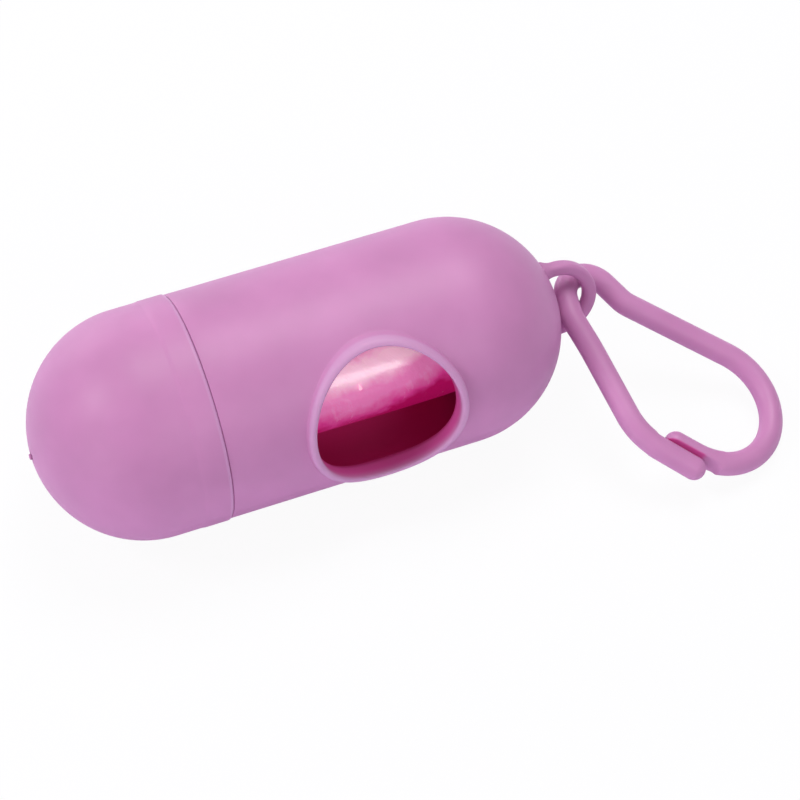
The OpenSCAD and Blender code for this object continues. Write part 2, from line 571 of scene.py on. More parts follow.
@dataclass(frozen=True)
class MouldedPlastic:
    """Satin moulded plastic with a faint cloudiness and a fine spark-eroded grain.

    Args:
        name: Name of the material.
        colour: Base colour, linear.
        magenta: Painted colour of the shade and the light caught between pink walls.
        rough: Roughness of the satin surface.
        cloudy: How far the cloudiness changes the roughness.
        speckled: How far the specks change it.
        grain: Height of the fine grain, in millimetres.
    """

    name: str = "orchid_plastic"
    colour: Colour = (0.605, 0.245, 0.50)
    magenta: Colour = (0.62, 0.085, 0.34)
    rough: float = 0.46
    cloudy: float = 0.16
    speckled: float = 0.08
    grain: float = 0.012

    def base(self, s: Shader) -> tuple[Socket, Socket, Socket]:
        """The plastic's mottled colour.

        Args:
            s: The material under construction.

        Returns:
            The colour, and the cloudy and the speckled noise in it.
        """
        cloud = s.noise(scale=55.0, detail=3.0, rough=0.55)
        speck = s.noise(scale=1400.0, detail=2.0, rough=0.6)
        pale = tuple(min(1.0, c * 1.06 + 0.01) for c in self.colour)
        deep = tuple(c * 0.93 for c in self.colour)
        base = s.colours(cloud, [(0.3, deep), (0.5, self.colour), (0.72, pale)])
        return s.mixed(speck.step(0.62, 0.78) * 0.12, base, pale), cloud, speck

    def grained(self, s: Shader, cloud: Socket, speck: Socket) -> None:
        """Sets the satin surface and its grain.

        Args:
            s: The material under construction.
            cloud: The cloudy noise of the colour.
            speck: The speckled noise of the colour.
        """
        fine = s.noise(scale=5200.0, detail=2.0, rough=0.6)
        s.set(
            Roughness=self.rough + (cloud - 0.5) * self.cloudy + (speck - 0.5) * self.speckled,
            Subsurface_Weight=0.12,
            Subsurface_Radius=(1.0, 0.45, 0.7),
            Subsurface_Scale=0.0012,
            Specular_IOR_Level=0.42,
        )
        s.bump(fine * 0.7 + speck * 0.3, depth=self.grain, strength=0.5)


@dataclass(frozen=True)
class ShellPlastic(MouldedPlastic):
    """The capsule's plastic, with painted shade and glow inside its walls and painted highlights on
    its lips.

    Args:
        lip: Painted highlight colour of the thin lip round the window and of the cap's rim.
        wine: Painted shade colour of the walls' inside, where light has come through the plastic.
        through: How much light comes through the walls, painted as a glow of their inside.
    """

    lip: Colour = (0.64, 0.32, 0.58)
    wine: Colour = (0.33, 0.004, 0.09)
    through: float = 0.045

    def make(self, frame: Frame, marks: Marks) -> bpy.types.Material:
        """Builds the material.

        Args:
            frame: The capsule's frame.
            marks: Where the window and the seam are.

        Returns:
            The material.
        """
        s = Shader(self.name)
        base, cloud, speck = self.base(s)
        s.set(Base_Color=self.paint_light_and_shade(s, base, frame, marks))
        self.grained(s, cloud, speck)
        return s.material

    def paint_light_and_shade(self, s: Shader, base: Socket, frame: Frame, marks: Marks) -> Socket:
        """Paints shade and glow inside, shade in the window's wall and highlights on lip and rim.

        Depth is the distance from the line between the domes' middles. Rho is the distance from
        the window's axis, and far more than the window's radius on the capsule's back.

        Args:
            s: The material under construction.
            base: The plastic's own colour.
            frame: The capsule's frame.
            marks: Where the window and the seam are.

        Returns:
            The colour.
        """
        x, y, z = (axis / MM - middle for axis, middle in zip(s.axes(), frame.origin))
        barrel, radius, seam = frame.barrel, marks.window_radius, -marks.seam
        beyond = (x.absolute() - frame.dome_x).above(0.0)
        depth = (beyond * beyond + y * y + z * z) ** 0.5
        along = x - marks.window_x
        up = y * math.sin(marks.tilt) + z * math.cos(marks.tilt)
        on_back = y.step(-6.0, -3.0)
        rho = (along * along + up * up) ** 0.5 + on_back * 10.0 * radius

        # The lip, with a painted highlight, is what stands over the barrel, up to 3 mm outside the
        # window's edge.
        near = 1.0 - rho.step(radius + 2.0, radius + 3.0)
        highlit = s.mixed(depth.step(barrel + 0.35, barrel + 0.9) * near, base, self.lip)

        # Painted highlight on the cap's rim: a line from 0.8 mm before the seam up to its face,
        # outside alone.
        rim = x.step(seam - 0.8, seam - 0.45) * (1.0 - x.step(seam - 0.08, seam - 0.04))
        highlit = s.mixed(rim * depth.step(barrel - 0.3, barrel) * 0.8, highlit, self.lip)

        # The window's wall lies at its radius, in painted magenta shade, and fades out where it
        # rises into the lip.
        inward = 1.0 - depth.step(barrel - 0.6, barrel + 1.2)
        wall = (1.0 - rho.step(radius + 0.1, radius + 0.45)) * inward

        # The walls' inside, in painted shade with a painted glow, starts about halfway through
        # their thickness of 2.2 mm.
        outer = depth.step(barrel - 2.3, barrel - 1.2)
        s.set(
            Emission_Color=s.mixed(outer, self.wine, BLACK),
            Emission_Strength=self.through,
        )
        return s.mixed(outer, self.wine, s.mixed(wall, highlit, self.magenta))


@dataclass(frozen=True)
class Fingers:
    """Where the clip's two fingers lie side by side, in millimetres.

    Args:
        origin: The clip plane's origin in the part's frame.
        along: The plane's direction along the clip.
        across: The plane's direction across the clip.
        reach: Places along the clip between which the fingers touch.
        split: Place across the clip of the gap between them.
    """

    origin: np.ndarray
    along: np.ndarray
    across: np.ndarray
    reach: tuple[float, float]
    split: float


@dataclass(frozen=True)
class ClipPlastic(MouldedPlastic):
    """The clip's plastic, with painted shade and a painted glow of caught light in the narrow gap
    between its fingers.

    Args:
        name: Name of the material.
        rough: Roughness, a little glossier than the capsule's.
        glow: How strong the painted glow of the light caught in the gap is.
    """

    name: str = "clip_plastic"
    rough: float = 0.42
    glow: float = 0.08

    def make(self, fingers: Fingers) -> bpy.types.Material:
        """Builds the material, with u along the clip and w across it.

        Args:
            fingers: Where the gap is.

        Returns:
            The material.
        """
        s = Shader(self.name)
        base, cloud, speck = self.base(s)
        place = [axis / MM - float(middle) for axis, middle in zip(s.axes(), fingers.origin)]
        u, w = (
            sum(axis * float(part) for axis, part in zip(place, way))
            for way in (fingers.along, fingers.across)
        )
        first, last = fingers.reach
        # Painted shade and glow in the gap between the two fingers.
        gap = 1.0 - (w - fingers.split).absolute().step(0.12, 0.42)
        gap = gap * u.step(first - 1, first) * (1.0 - u.step(last, last + 1))
        s.set(
            Base_Color=s.mixed(gap, base, self.magenta),
            Emission_Color=s.mixed(gap, BLACK, self.magenta),
            Emission_Strength=self.glow,
        )
        self.grained(s, cloud, speck)
        return s.material


@dataclass(frozen=True)
class BagFilm:
    """Thin glossy film, wound in folded layers that crease across the roll, with painted bands of
    highlight and shade.

    Args:
        name: Name of the material.
        pale: Colour of the painted highlight band, linear.
        pink: Colour of the film.
        rose: Colour of painted half shade.
        deep: Colour of painted shade at the roll's lower and upper edges.
        through: How much of the light comes through the film, painted as a glow.
        lean: Angle above the horizontal of the line that the bands are counted along, in degrees.
        drifting: How far the slow noise shakes the bands.
        creasing: How far the creases shake them.
        shading: How far they sink in the shade at the window's right end.
        crumple: Height of the creases, in millimetres.
    """

    name: str = "bag_film"
    pale: Colour = (1.0, 0.57, 0.76)
    pink: Colour = (0.82, 0.22, 0.52)
    rose: Colour = (0.70, 0.05, 0.31)
    deep: Colour = (0.50, 0.006, 0.13)
    through: float = 0.5
    lean: float = 35.7
    drifting: float = 0.3
    creasing: float = 0.1
    shading: float = 0.16
    crumple: float = 0.5

    def make(self, middle: np.ndarray, radius: float) -> bpy.types.Material:
        """Builds the material: broad painted bands of highlight and shade round the roll, with
        creases across.

        A band's place is the height over the roll's axis along the leaning line, from 0 to 1 across
        the roll, shaken by noise and lower in the painted shade of the window's right end.

        Args:
            middle: A point on the roll's axis, in the part's frame in millimetres.
            radius: The roll's radius.

        Returns:
            The material.
        """
        s = Shader(self.name)
        lean = math.radians(self.lean)
        x, y, z = (axis / MM - centre for axis, centre in zip(s.axes(), middle))
        height = (y * math.cos(lean) + z * math.sin(lean)) / radius
        slow = s.stretched(along=110.0, across=170.0, turn=30.0)
        drift = s.noise(1.0, detail=3.0, rough=0.55, vector=slow)
        quick = s.stretched(along=520.0, across=170.0, turn=42.0)
        crease = s.noise(1.0, detail=4.0, rough=0.6, vector=quick)
        fine = s.noise(scale=2600.0, detail=3.0, rough=0.6)
        place = height * 0.5 + 0.5
        place = place + (drift - 0.5) * self.drifting + (crease - 0.5) * self.creasing
        place = place - x.step(14.0, 24.0) * self.shading
        # Painted shade at both edges of the roll, and a painted highlight band between them.
        stops = [
            (0.0, self.deep),
            (0.06, self.rose),
            (0.16, self.pink),
            (0.26, self.pink),
            (0.39, self.pale),
            (0.54, self.pale),
            (0.62, self.pink),
            (0.7, self.rose),
            (0.92, self.deep),
        ]
        # Crease tops get a painted highlight of the pale colour.
        base = s.mixed(crease.step(0.56, 0.8) * 0.18, s.colours(place, stops), self.pale)
        s.set(
            Base_Color=base,
            Emission_Color=base,
            Emission_Strength=self.through,
            Roughness=0.22 + (crease - 0.4) * 0.25,
            Subsurface_Weight=0.25,
            Subsurface_Radius=(1.0, 0.25, 0.5),
            Subsurface_Scale=0.0015,
            Coat_Weight=0.5,
            Coat_Roughness=0.16,
        )
        s.bump(crease * 0.7 + drift * 0.2 + fine * 0.1, depth=self.crumple, strength=0.9)
        return s.material


@dataclass(frozen=True)
class CoreBoard:
    """Wound board of a roll's core, with fibres along the winding.

    Args:
        name: Name of the material.
        light: Colour of the pale fibres, linear.
        dark: Colour of the dark fibres.
    """

    name: str = "core_board"
    light: Colour = (0.50, 0.36, 0.22)
    dark: Colour = (0.34, 0.23, 0.13)

    def make(self) -> bpy.types.Material:
        """Builds the material."""
        s = Shader(self.name)
        winding = s.stretched(along=500.0, across=2600.0, turn=25.0)
        fibre = s.noise(1.0, detail=4.0, rough=0.7, vector=winding)
        blotch = s.noise(scale=180.0, detail=3.0, rough=0.5)
        base = s.colours(fibre * 0.6 + blotch * 0.4, [(0.3, self.dark), (0.7, self.light)])
        s.set(Base_Color=base, Roughness=0.86 + (fibre - 0.5) * 0.1, Specular_IOR_Level=0.3)
        s.bump(fibre, depth=0.08, strength=0.7)
        return s.material


@dataclass(frozen=True)
class StudioWhite:
    """Pale floor, which the camera sees as white.

    Args:
        name: Name of the material.
        colour: The floor's own colour, linear.
        bleached: Share of plain white in what the camera sees, so that a faint shadow stays.
    """

    name: str = "studio_floor"
    colour: Colour = (0.9, 0.87, 1.0)
    bleached: float = 0.94

    def make(self) -> bpy.types.Material:
        """Builds the material: a matte floor, mixed with plain white for the camera's own rays."""
        s = Shader(self.name)
        s.set(Base_Color=(*self.colour, 1.0), Roughness=0.9)
        light = s.add("ShaderNodeEmission", {}, {"Color": WHITE, "Strength": 1.0})
        seen = s.value(s.add("ShaderNodeLightPath"), "Is Camera Ray")
        both = s.add("ShaderNodeMixShader", {}, {0: seen * self.bleached})
        s.tree.links.new(s.surface.outputs[0], both.inputs[1])
        s.tree.links.new(light.outputs[0], both.inputs[2])
        s.tree.links.new(both.outputs[0], s.tree.nodes["Material Output"].inputs["Surface"])
        return s.material


# --------------------------------------------------------------------------- the capsule


@dataclass
class Capsule:
    """Barrel with its dome, neck, window lip and eyelet, and the cap, in millimetres and degrees.

    Args:
        frame: The capsule's frame.
        bore: Radius of the barrel's hollow.
        cap_bore: Radius of the cap's hollow.
        neck: Outer radius of the neck.
        neck_length: Length of the neck.
        seam: Distance of the seam from the capsule's middle.
        seam_line: Width of the dark line at the seam.
        window_x: Place of the window along the capsule.
        window_tilt: Angle of the window above the horizontal.
        window_radius: Radius of the window.
        lip_width: Width of the bead round the window.
        lip_height: Height of the bead over the barrel.
        lip_foot: Width of the soft foot outside the bead.
        eyelet_reach: Distance of the eyelet hole's middle past the dome's pole.
        eyelet_hole: Radius of the eyelet's hole.
        eyelet_rim: Width of its rim.
        eyelet_thickness: Its thickness.
        flank: Length by which its flanks run on into the dome.
        sides: Steps round the cap.
        patch: Steps along a quarter of the outline of the window's patch.
        pole_hole: Radius of the ring at the cap's poles, which merges into a point.
        finish: The plastic.
    """

    frame: Frame
    bore: float = 16.8
    cap_bore: float = 18.05
    neck: float = 17.8
    neck_length: float = 8.0
    seam: float = 17.5
    seam_line: float = 0.035
    window_x: float = 9.2
    window_tilt: float = 17.2
    window_radius: float = 12.3
    lip_width: float = 1.25
    lip_height: float = 1.35
    lip_foot: float = 0.25
    eyelet_reach: float = 0.8
    eyelet_hole: float = 4.6
    eyelet_rim: float = 2.3
    eyelet_thickness: float = 2.3
    flank: float = 2.4
    sides: int = 192
    patch: int = 24
    pole_hole: float = 0.001
    finish: bpy.types.Material = field(init=False)

    def __post_init__(self) -> None:
        """Makes the plastic."""
        marks = Marks(self.window_x, self.window_radius, self.tilt, self.seam)
        self.finish = ShellPlastic().make(self.frame, marks)

    @property
    def tilt(self) -> float:
        """Angle of the window above the horizontal, in radians."""
        return math.radians(self.window_tilt)

    def around(self, x: np.ndarray, radius: np.ndarray, angle: np.ndarray) -> np.ndarray:
        """Points on the barrel: at x, and radius out at an angle about the axis.

        Args:
            x: Places along the capsule.
            radius: Distances from the axis.
            angle: Angles from the window's middle, positive upwards, in radians.

        Returns:
            The points.
        """
        turn = angle + self.tilt
        return np.stack([x, -radius * np.cos(turn), radius * np.sin(turn)], axis=-1)

    def hole_ring(self, rho: np.ndarray, radius: np.ndarray, psi: np.ndarray) -> np.ndarray:
        """Points round the window: rho from its axis, at psi, and radius from the capsule's axis.

        With u = rho sin psi across the barrel, the angle about the axis is asin(u / radius).

        Args:
            rho: Distances from the window's axis, one a row.
            radius: Distances from the capsule's axis, one a row.
            psi: Angles round the window.

        Returns:
            A grid with shape (rows, angles, 3).
        """
        u = rho[:, None] * np.sin(psi)
        x = self.window_x + rho[:, None] * np.cos(psi)
        full = np.broadcast_to(radius[:, None], u.shape)
        return self.around(x, full, np.arcsin(u / full))

    def patch_outline(self, half_x: float) -> tuple[np.ndarray, np.ndarray]:
        """Outline of the window's patch: a rectangle half a turn high, centred on the window.

        Args:
            half_x: Half of its length along the capsule.

        Returns:
            Points (x, angle) anticlockwise from the middle of the side towards the clip, and each
            point's own angle round the window.
        """
        s = np.linspace(0, 1, self.patch, endpoint=False)
        quarter = math.pi / 2
        right_up = np.stack([np.full_like(s, half_x), s * quarter], axis=1)
        top_right = np.stack([half_x * (1 - s), np.full_like(s, quarter)], axis=1)
        top_left = np.stack([-half_x * s, np.full_like(s, quarter)], axis=1)
        left_down = np.stack([np.full_like(s, -half_x), quarter * (1 - s)], axis=1)
        upper = np.concatenate([right_up, top_right, top_left, left_down])
        outline = np.concatenate([upper, -upper])
        outline[:, 0] += self.window_x
        psi = np.arctan2(outline[:, 1] / quarter, (outline[:, 0] - self.window_x) / half_x)
        return outline, psi

    def wall(self, surface: Surface, radius: float, rho: float, half_x: float, flip: bool) -> None:
        """Adds the barrel's wall at one radius, with a round hole for the window.

        A patch runs from the hole's ring out to a rectangle half a turn high, in even steps of a
        straight mix of the two, and a plain grid covers the other half turn.

        Args:
            surface: Where it is added.
            radius: The wall's radius.
            rho: The hole's radius.
            half_x: Half of the rectangle's length.
            flip: Whether the faces point inwards.
        """
        outline, psi = self.patch_outline(half_x)
        angle = np.arcsin(rho * np.sin(psi) / radius)
        inner = np.stack([self.window_x + rho * np.cos(psi), angle], axis=1)
        t = np.linspace(0, 1, 15)[:, None, None]
        flat = inner * (1 - t) + outline * t
        full = np.full(flat.shape[:2], radius)
        surface.grid(self.around(flat[..., 0], full, flat[..., 1]), True, flip)
        steps = 2 * self.patch + 1
        x = np.linspace(-half_x, half_x, steps) + self.window_x
        a = np.linspace(math.pi / 2, 3 * math.pi / 2, steps)
        xx, aa = np.meshgrid(x, a, indexing="ij")
        surface.grid(self.around(xx, np.full(xx.shape, radius), aa), False, not flip)

    def lip_profile(self) -> tuple[np.ndarray, np.ndarray]:
        """The lip's section: up the window's wall, over a round bead and down a soft foot.

        The foot falls as (1 - t) squared times (1 + 2 t), and two rings on the barrel follow it.

        Returns:
            The distances from the window's axis and the heights over the barrel.
        """
        bead = self.lip_width / 2
        a = fillet(180, 8, 14)
        rho = self.window_radius + bead * (1 + np.cos(a))
        height = self.lip_height - bead * (1 - np.sin(a))
        t = np.linspace(0, 1, 9)[1:]
        fall = height[-1] * (1 - t) ** 2 * (1 + 2 * t)
        rest = self.lip_foot + np.array([0.12, 0.4])
        outside = rho[-1] + np.concatenate([self.lip_foot * t, rest])
        return np.concatenate([rho, outside]), np.concatenate([height, fall, [0, 0]])

    def shell(self) -> bpy.types.Object:
        """The barrel in one closed skin: dome, bore, neck, shoulder and window lip.

        Returns:
            The piece.
        """
        f, surface = self.frame, Surface()
        r, dome = f.barrel, f.dome_x
        edge, margin = 0.35, 0.5
        half_x = dome - self.window_x - margin
        rho, height = self.lip_profile()
        inside = fillet(90, 0, 5)
        rho_in = self.window_radius + edge * (1 - np.cos(inside))
        radius_in = self.bore + edge * (1 - np.sin(inside))
        all_rho = np.concatenate([rho_in, rho])
        all_radius = np.concatenate([radius_in, r + height])
        _, psi = self.patch_outline(half_x)
        surface.grid(self.hole_ring(all_rho, all_radius, psi), True)
        self.wall(surface, r, rho[-1], half_x, False)
        self.wall(surface, self.bore, all_rho[0], half_x, True)
        self._turned(surface, half_x)
        piece = surface.build("body_shell_skin", f, merge=0.004)
        return self._dress(piece, Body.SHELL, Slot.SHELL, "body_shell")

    def _turned(self, surface: Surface, half_x: float) -> None:
        """Adds what is turned about the barrel's axis: both sides of the dome, and the neck.

        Args:
            surface: Where they are added.
            half_x: Half of the windowed stretch's length.
        """
        steps = 4 * self.patch
        a = np.linspace(0, TAU, steps, endpoint=False)
        front, back = self.window_x + half_x, self.window_x - half_x
        outer = self._dome(front, self.frame.barrel)
        inner = self._dome(front, self.bore)
        for profile, flip in ((outer, False), (inner, True), (self._neck(back), True)):
            xx = np.repeat(profile[:, :1], steps, axis=1)
            rr = np.repeat(profile[:, 1:], steps, axis=1)
            surface.grid(self.around(xx, rr, np.broadcast_to(a, xx.shape)), True, flip)

    def _dome(self, start: float, radius: float) -> np.ndarray:
        """Profile (x, r) of the barrel from a start and of its dome, out to the pole."""
        a = fillet(0, 90, 33)[1:]
        middle = self.frame.dome_x
        dome = np.stack([middle + radius * np.sin(a), radius * np.cos(a)], axis=1)
        return np.concatenate([[[start, radius], [middle, radius]], dome])

    def _neck(self, start: float) -> np.ndarray:
        """Profile (x, r) of the barrel's end: the shoulder, the neck and back along the bore.

        Args:
            start: Where the barrel's end starts.

        Returns:
            The points.
        """
        r, seam, end = self.frame.barrel, -self.seam, -self.seam - self.neck_length
        edge, root, lead, mouth = 0.2, 0.15, 0.4, 0.2
        a = fillet(90, 180, 5)
        shoulder = np.stack([edge * np.cos(a) + seam + edge, r - edge + edge * np.sin(a)], axis=1)
        out = [[x, r] for x in np.linspace(start, seam + edge, 6)[:-1]]
        out += shoulder.tolist()
        out += [[seam, self.neck + root], [seam - root, self.neck]]
        out += [[x, self.neck] for x in np.linspace(seam - root, end + lead, 8)[1:]]
        out += [[end, self.neck - lead], [end, self.bore + mouth], [end + mouth, self.bore]]
        out += [[x, self.bore] for x in np.linspace(end + mouth, start, 10)[1:]]
        return np.array(out)

    def eyelet(self) -> bpy.types.Object:
        """The flat eyelet: a rounded rim carried up one flank, round the hole and back down.

        Where a flank runs into the dome, its rim grows by up to two fifths.

        Returns:
            The piece.
        """
        rim, half = self.eyelet_rim, self.eyelet_thickness / 2
        middle = self.eyelet_hole + rim / 2
        bend = fillet(-90, 90, 41)
        straight = np.linspace(-self.eyelet_reach - self.flank, 0, 12)[:-1]
        one, none = np.ones_like(straight), np.zeros_like(straight)
        x = np.concatenate([straight, middle * np.cos(bend), straight[::-1]])
        u = np.concatenate([-middle * one, middle * np.sin(bend), middle * one])
        tx = np.concatenate([one, -np.sin(bend), -one])
        tu = np.concatenate([none, np.cos(bend), none])
        n = np.array([0, -math.cos(self.tilt), math.sin(self.tilt)])
        up = np.array([0, math.sin(self.tilt), math.cos(self.tilt)])
        start = self.frame.dome_x + self.frame.barrel + self.eyelet_reach
        path = np.outer(x, [1, 0, 0]) + np.outer(u, up) + np.array([start, 0, 0])
        tangents = np.outer(tx, [1, 0, 0]) + np.outer(tu, up)
        normals = np.broadcast_to(n, path.shape)
        section = self._rim_section(rim / 2, half)
        root_start, root_length, growth = 0.3, 1.6, 0.4
        root = np.clip((-x - root_start) / root_length, 0, 1) ** 2
        cuts = section[None] * (1 + growth * root[:, None, None])
        piece = closed_tube("eyelet_loop", self.frame, sweep(path, tangents, normals, cuts))
        return self._dress(piece, Body.SHELL, Slot.SHELL)

    @staticmethod
    def _rim_section(half_width: float, half_height: float) -> np.ndarray:
        """Section of the eyelet's rim: full round on the hole's side, small rounds outside.

        Args:
            half_width: Half of its width, across the rim.
            half_height: Half of the eyelet's thickness.

        Returns:
            Points (u, v), with the hole on the side of negative u.
        """
        edge, r = 0.6, half_height
        low, top, inner = fillet(-90, 0, 7), fillet(0, 90, 7), fillet(90, 270, 15)
        u, v = half_width - edge, r - edge
        parts = [
            np.stack([u + edge * np.cos(low), -v + edge * np.sin(low)], axis=1),
            np.stack([u + edge * np.cos(top), v + edge * np.sin(top)], axis=1),
            np.stack([-half_width + r + r * np.cos(inner), r * np.sin(inner)], axis=1),
        ]
        return np.concatenate(parts)

    def thread(self) -> bpy.types.Object:
        """The low round thread on the neck: a bead on a helix (x, r, a) with x falling as a turns.

        Returns:
            The piece.
        """
        turns, pitch, start, ramp = 1.35, 3.0, 2.0, 0.35
        half_width, half_height, showing = 0.6, 0.42, 0.14
        a = np.linspace(0, turns * TAU, 160)
        x = -self.seam - start - pitch * a / TAU
        rise = np.clip(np.minimum(a, a[-1] - a) / ramp, 0, 1)
        radius = self.neck - half_height + showing * rise
        path, normals = round_x(x, radius, a), round_x(0.0, 1.0, a)
        b = np.linspace(0, TAU, 14, endpoint=False)
        section = np.stack([half_width * np.cos(b), half_height * np.sin(b)], axis=1)
        rings = sweep(path, directions(path), normals, section)
        piece = closed_tube("neck_thread", self.frame, rings)
        return self._dress(piece, Body.SHELL, Slot.SHELL)

    def cap(self) -> bpy.types.Object:
        """The domed cap: one closed turned skin, with a rounded rim and a moulding mark.

        Its dome is a little lower than the band at its rim, and a smooth step joins them.

        Returns:
            The piece.
        """
        f, bore, mouth = self.frame, self.cap_bore, 0.2
        rim = -self.seam - self.seam_line
        inside = fillet(0, 90, 40)
        profile = self._cap_outside(rim)
        profile += [[rim, bore + mouth], [rim - mouth, bore]]
        profile += [[x, bore] for x in np.linspace(rim - mouth, -f.dome_x, 12)[1:-1]]
        profile += [[-f.dome_x - bore * math.sin(t), bore * math.cos(t)] for t in inside]
        profile[-1][1] = self.pole_hole
        surface = Surface()
        surface.grid(revolve(np.array(profile), self.sides), True)
        piece = surface.build("end_cap_skin", f, merge=0.004)
        return self._dress(piece, Body.CAP, Slot.CAP, "end_cap")

    def _cap_outside(self, rim: float) -> list[list[float]]:
        """Profile (x, r) of the cap's outside: its mark, its dome, the step up, the band, the rim.

        The step rises by t squared times (3 - 2 t), and flat is how much flatter the dome is than
        a round one.

        Args:
            rim: Place of the cap's rim along the capsule.

        Returns:
            The points.
        """
        r, dome = self.frame.cap_radius, self.frame.dome_x
        edge, band, sink, flat, half_step = 0.42, 4.5, 0.1, 0.2, 0.5
        mark, mark_edge, mark_height, mark_foot = 0.5, 0.12, 0.06, 0.02
        low, pole, step = r - sink, -dome - r - mark_height, rim - band
        turned = math.asin(mark / low)
        out = [[pole, self.pole_hole], [pole, mark - mark_edge], [pole + 0.1, mark]]
        out += [[-dome - (low - flat) * math.cos(turned), mark + mark_foot]]
        outside = np.linspace(math.pi / 2 - turned, 0, 40)
        out += [[-dome - (low - flat) * math.sin(t), low * math.cos(t)] for t in outside]
        out += [[x, low] for x in np.linspace(-dome, step - half_step, 6)[1:]]
        rise = np.linspace(0, 1, 9)[1:]
        out += [[step - half_step + t, low + sink * t * t * (3 - 2 * t)] for t in rise]
        out += [[x, r] for x in np.linspace(step + half_step, rim - edge, 6)[1:-1]]
        x, y = rim - edge, r - edge
        out += [[x + edge * math.cos(t), y + edge * math.sin(t)] for t in fillet(90, 0, 5)]
        return out

    def _dress(
        self, piece: bpy.types.Object, body: Body, slot: Slot, *nodes: str
    ) -> bpy.types.Object:
        """Gives a piece the plastic and its body, and hides the nodes that it replaces."""
        return dress(piece, self.finish, body, slot, *nodes)


def dress(
    piece: bpy.types.Object, finish: bpy.types.Material, body: Body, slot: Slot, *nodes: str
) -> bpy.types.Object:
    """Gives a piece its material and body, and hides the nodes that it stands for.

    Args:
        piece: The piece.
        finish: Its material.
        body: The body that it rides on.
        slot: Not used.
        nodes: CAD nodes that it replaces.

    Returns:
        The piece.
    """
    piece.data.materials.append(finish)
    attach(piece, body.value)
    if nodes:
        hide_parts(*nodes)
    LOG.info("%s: %d faces on %s", piece.name, len(piece.data.polygons), body.value)
    return piece


# --------------------------------------------------------------------------- the clip


@dataclass(frozen=True)
class Step:
    """One step of the wire: a line of a length, or a bend of a radius through an angle.

    Args:
        length: Length of a line, or radius of a bend, in millimetres.
        angle: Angle of the bend, positive to the left, or 0 for a line.
    """

    length: float
    angle: float = 0.0

    def run(self) -> float:
        """Length along the wire."""
        return self.length * (math.radians(abs(self.angle)) if self.angle else 1.0)

    def points(self, start: np.ndarray, spacing: float) -> np.ndarray:
        """Stations [x, y, heading] after the start: on a line, or on a circle to its left or right.

        Args:
            start: Where the step starts.
            spacing: Greatest distance between stations.

        Returns:
            The stations.
        """
        count = max(2, math.ceil(self.run() / spacing))
        s = np.linspace(0, 1, count + 1)[1:]
        h = math.radians(start[2])
        if not self.angle:
            along = self.length * s
            across = np.zeros_like(s)
        else:
            turn = np.radians(abs(self.angle)) * s
            along = self.length * np.sin(turn)
            across = math.copysign(self.length, self.angle) * (1 - np.cos(turn))
        x = start[0] + along * math.cos(h) - across * math.sin(h)
        y = start[1] + along * math.sin(h) + across * math.cos(h)
        return np.stack([x, y, start[2] + self.angle * s], axis=1)


@dataclass(frozen=True)
class Flat:
    """The flat side of a finger, in the clip's plane.

    Args:
        line: Place of the flat across the clip.
        side: 1 if the wire lies below the line, -1 if above.
        start: Place along the clip where the flat starts.
        end: Place where it ends.
    """

    line: float
    side: float
    start: float
    end: float


